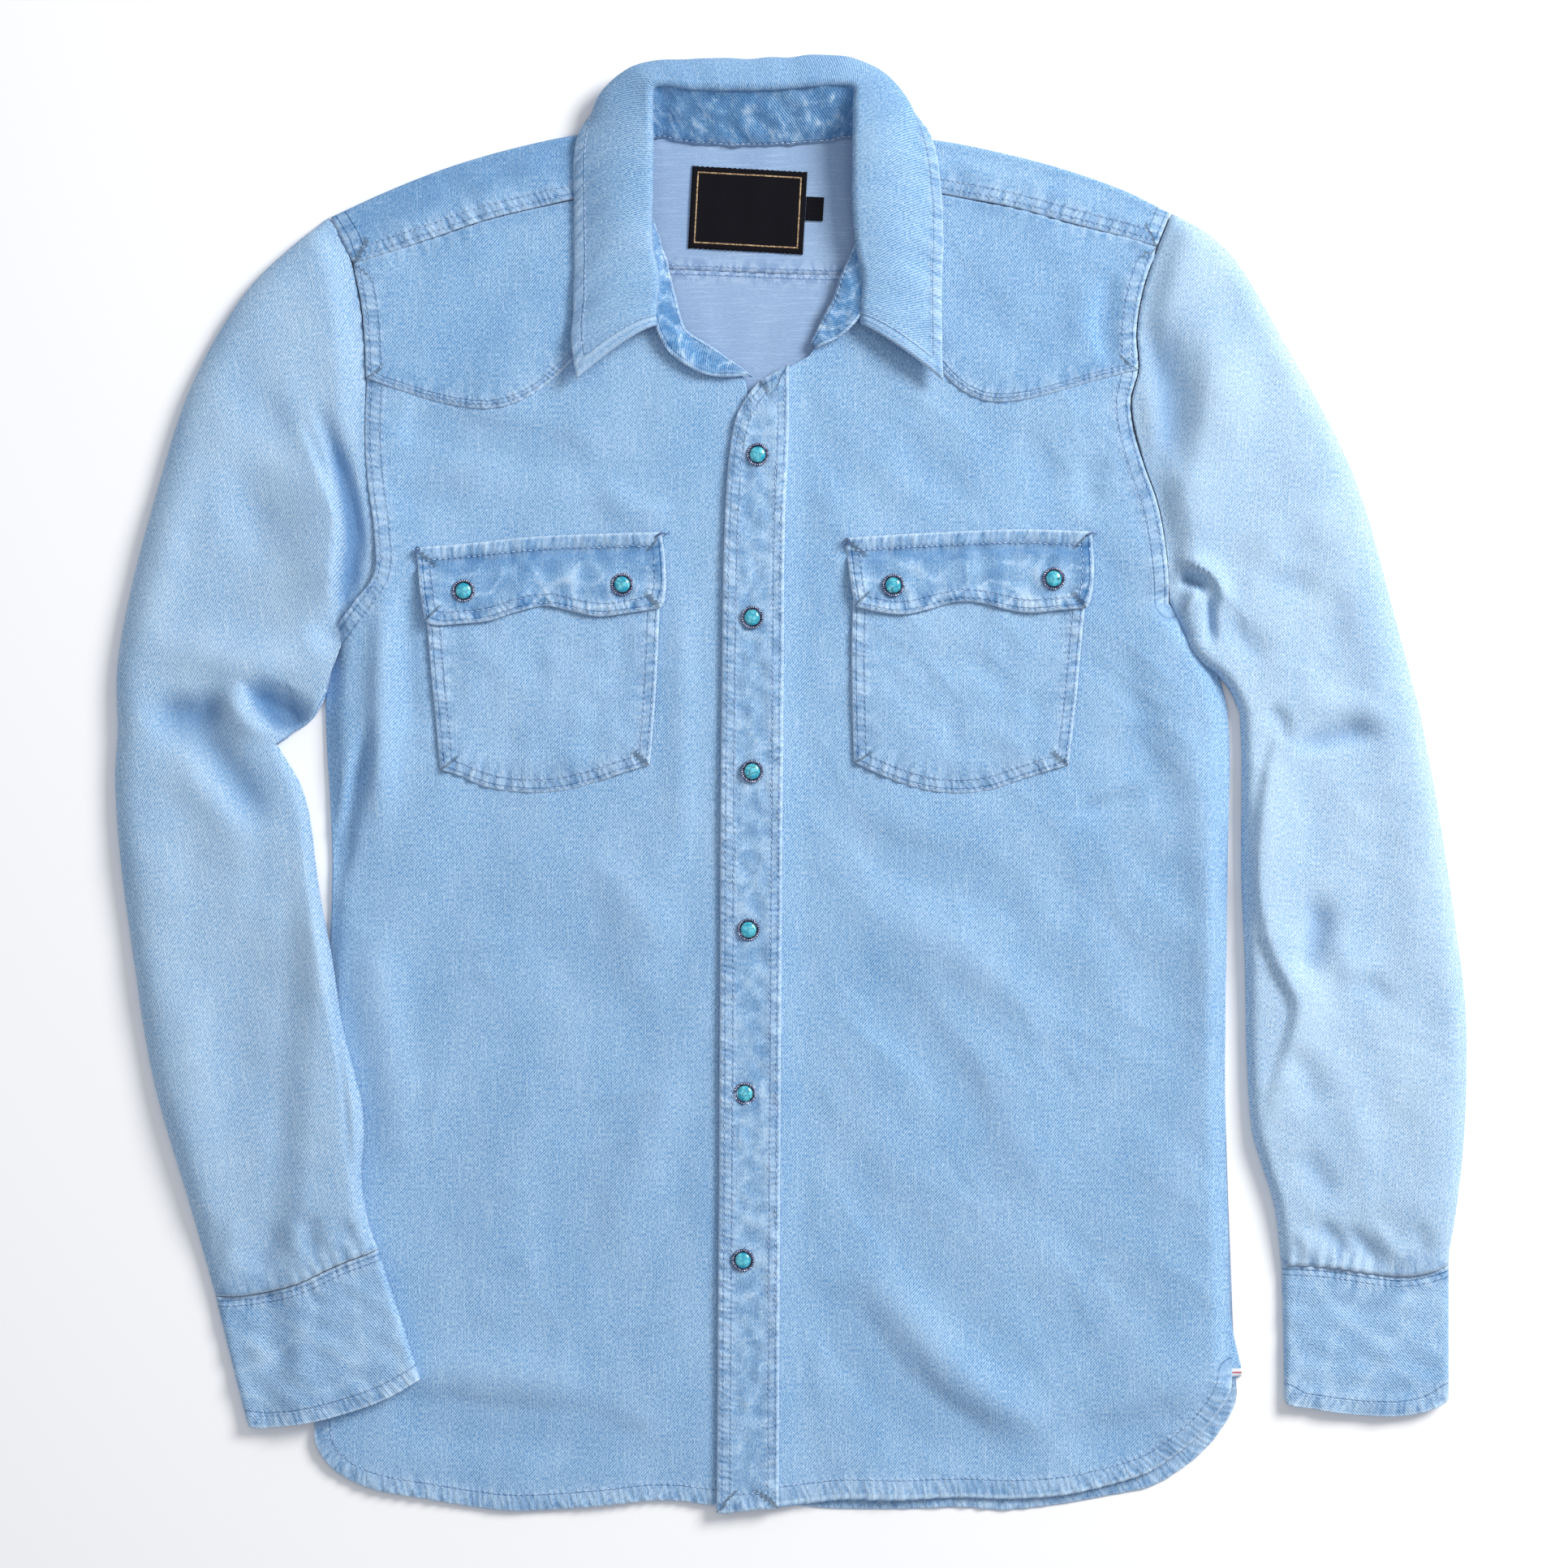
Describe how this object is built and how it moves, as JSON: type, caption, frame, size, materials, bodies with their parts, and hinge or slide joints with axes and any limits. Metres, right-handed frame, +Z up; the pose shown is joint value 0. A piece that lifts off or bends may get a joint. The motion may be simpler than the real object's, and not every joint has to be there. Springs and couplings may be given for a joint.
{
  "type": "denim shirt",
  "caption": "Long-sleeved western shirt laid flat on its back: snap front placket, pointed collar, chest yokes, flap pockets and cuffs.",
  "frame": {"origin": "on the surface the shirt lies on, under the middle of its outline", "axes": "+X towards the wearer's left sleeve, +Y towards the collar, +Z up off the surface, out of the shirt's front"},
  "size_m": [0.7404, 0.7954, 0.0256],
  "materials": {
    "denim_body": "light-wash cotton denim, twill weave with vertical slubs",
    "denim_yoke": "light-wash cotton denim, twill weave",
    "denim_pocket": "light-wash cotton denim, bleached along its stitched edges",
    "denim_placket": "light-wash cotton denim, puckered and bleached in patches",
    "denim_sleeve": "light-wash cotton denim, twill weave along the sleeve",
    "denim_cuff": "light-wash cotton denim, worn at its edges",
    "denim_collar": "light-wash cotton denim, bleached along its edge",
    "woven_label": "dark woven ribbon with a plain tan border",
    "selvedge": "denim selvedge with a white edge and a red thread",
    "snap_metal": "antiqued dark metal with a rope-edged rim",
    "snap_stone": "polished turquoise stone with dark veins"
  },
  "bodies": {
    "root": {"back_panel": "denim_body", "front_right": "denim_body", "front_left": "denim_body", "placket": "denim_placket", "back_yoke": "denim_yoke", "front_yoke_right": "denim_yoke", "front_yoke_left": "denim_yoke", "pocket_right": "denim_pocket", "pocket_left": "denim_pocket", "flap_right": "denim_pocket", "flap_left": "denim_pocket", "sleeve_right": "denim_sleeve", "sleeve_left": "denim_sleeve", "cuff_right": "denim_cuff", "cuff_left": "denim_cuff", "collar": "denim_collar", "collar_stand": "denim_collar", "label": "woven_label", "size_tab": "woven_label", "gusset_left": "selvedge", "gusset_right": "selvedge", "snap_rim_front_1": "snap_metal", "snap_stone_front_1": "snap_stone", "snap_rim_front_2": "snap_metal", "snap_stone_front_2": "snap_stone", "snap_rim_front_3": "snap_metal", "snap_stone_front_3": "snap_stone", "snap_rim_front_4": "snap_metal", "snap_stone_front_4": "snap_stone", "snap_rim_front_5": "snap_metal", "snap_stone_front_5": "snap_stone", "snap_rim_front_6": "snap_metal", "snap_stone_front_6": "snap_stone", "snap_rim_flap_right_1": "snap_metal", "snap_stone_flap_right_1": "snap_stone", "snap_rim_flap_right_2": "snap_metal", "snap_stone_flap_right_2": "snap_stone", "snap_rim_flap_left_1": "snap_metal", "snap_stone_flap_left_1": "snap_stone", "snap_rim_flap_left_2": "snap_metal", "snap_stone_flap_left_2": "snap_stone"}
  },
  "joints": []
}
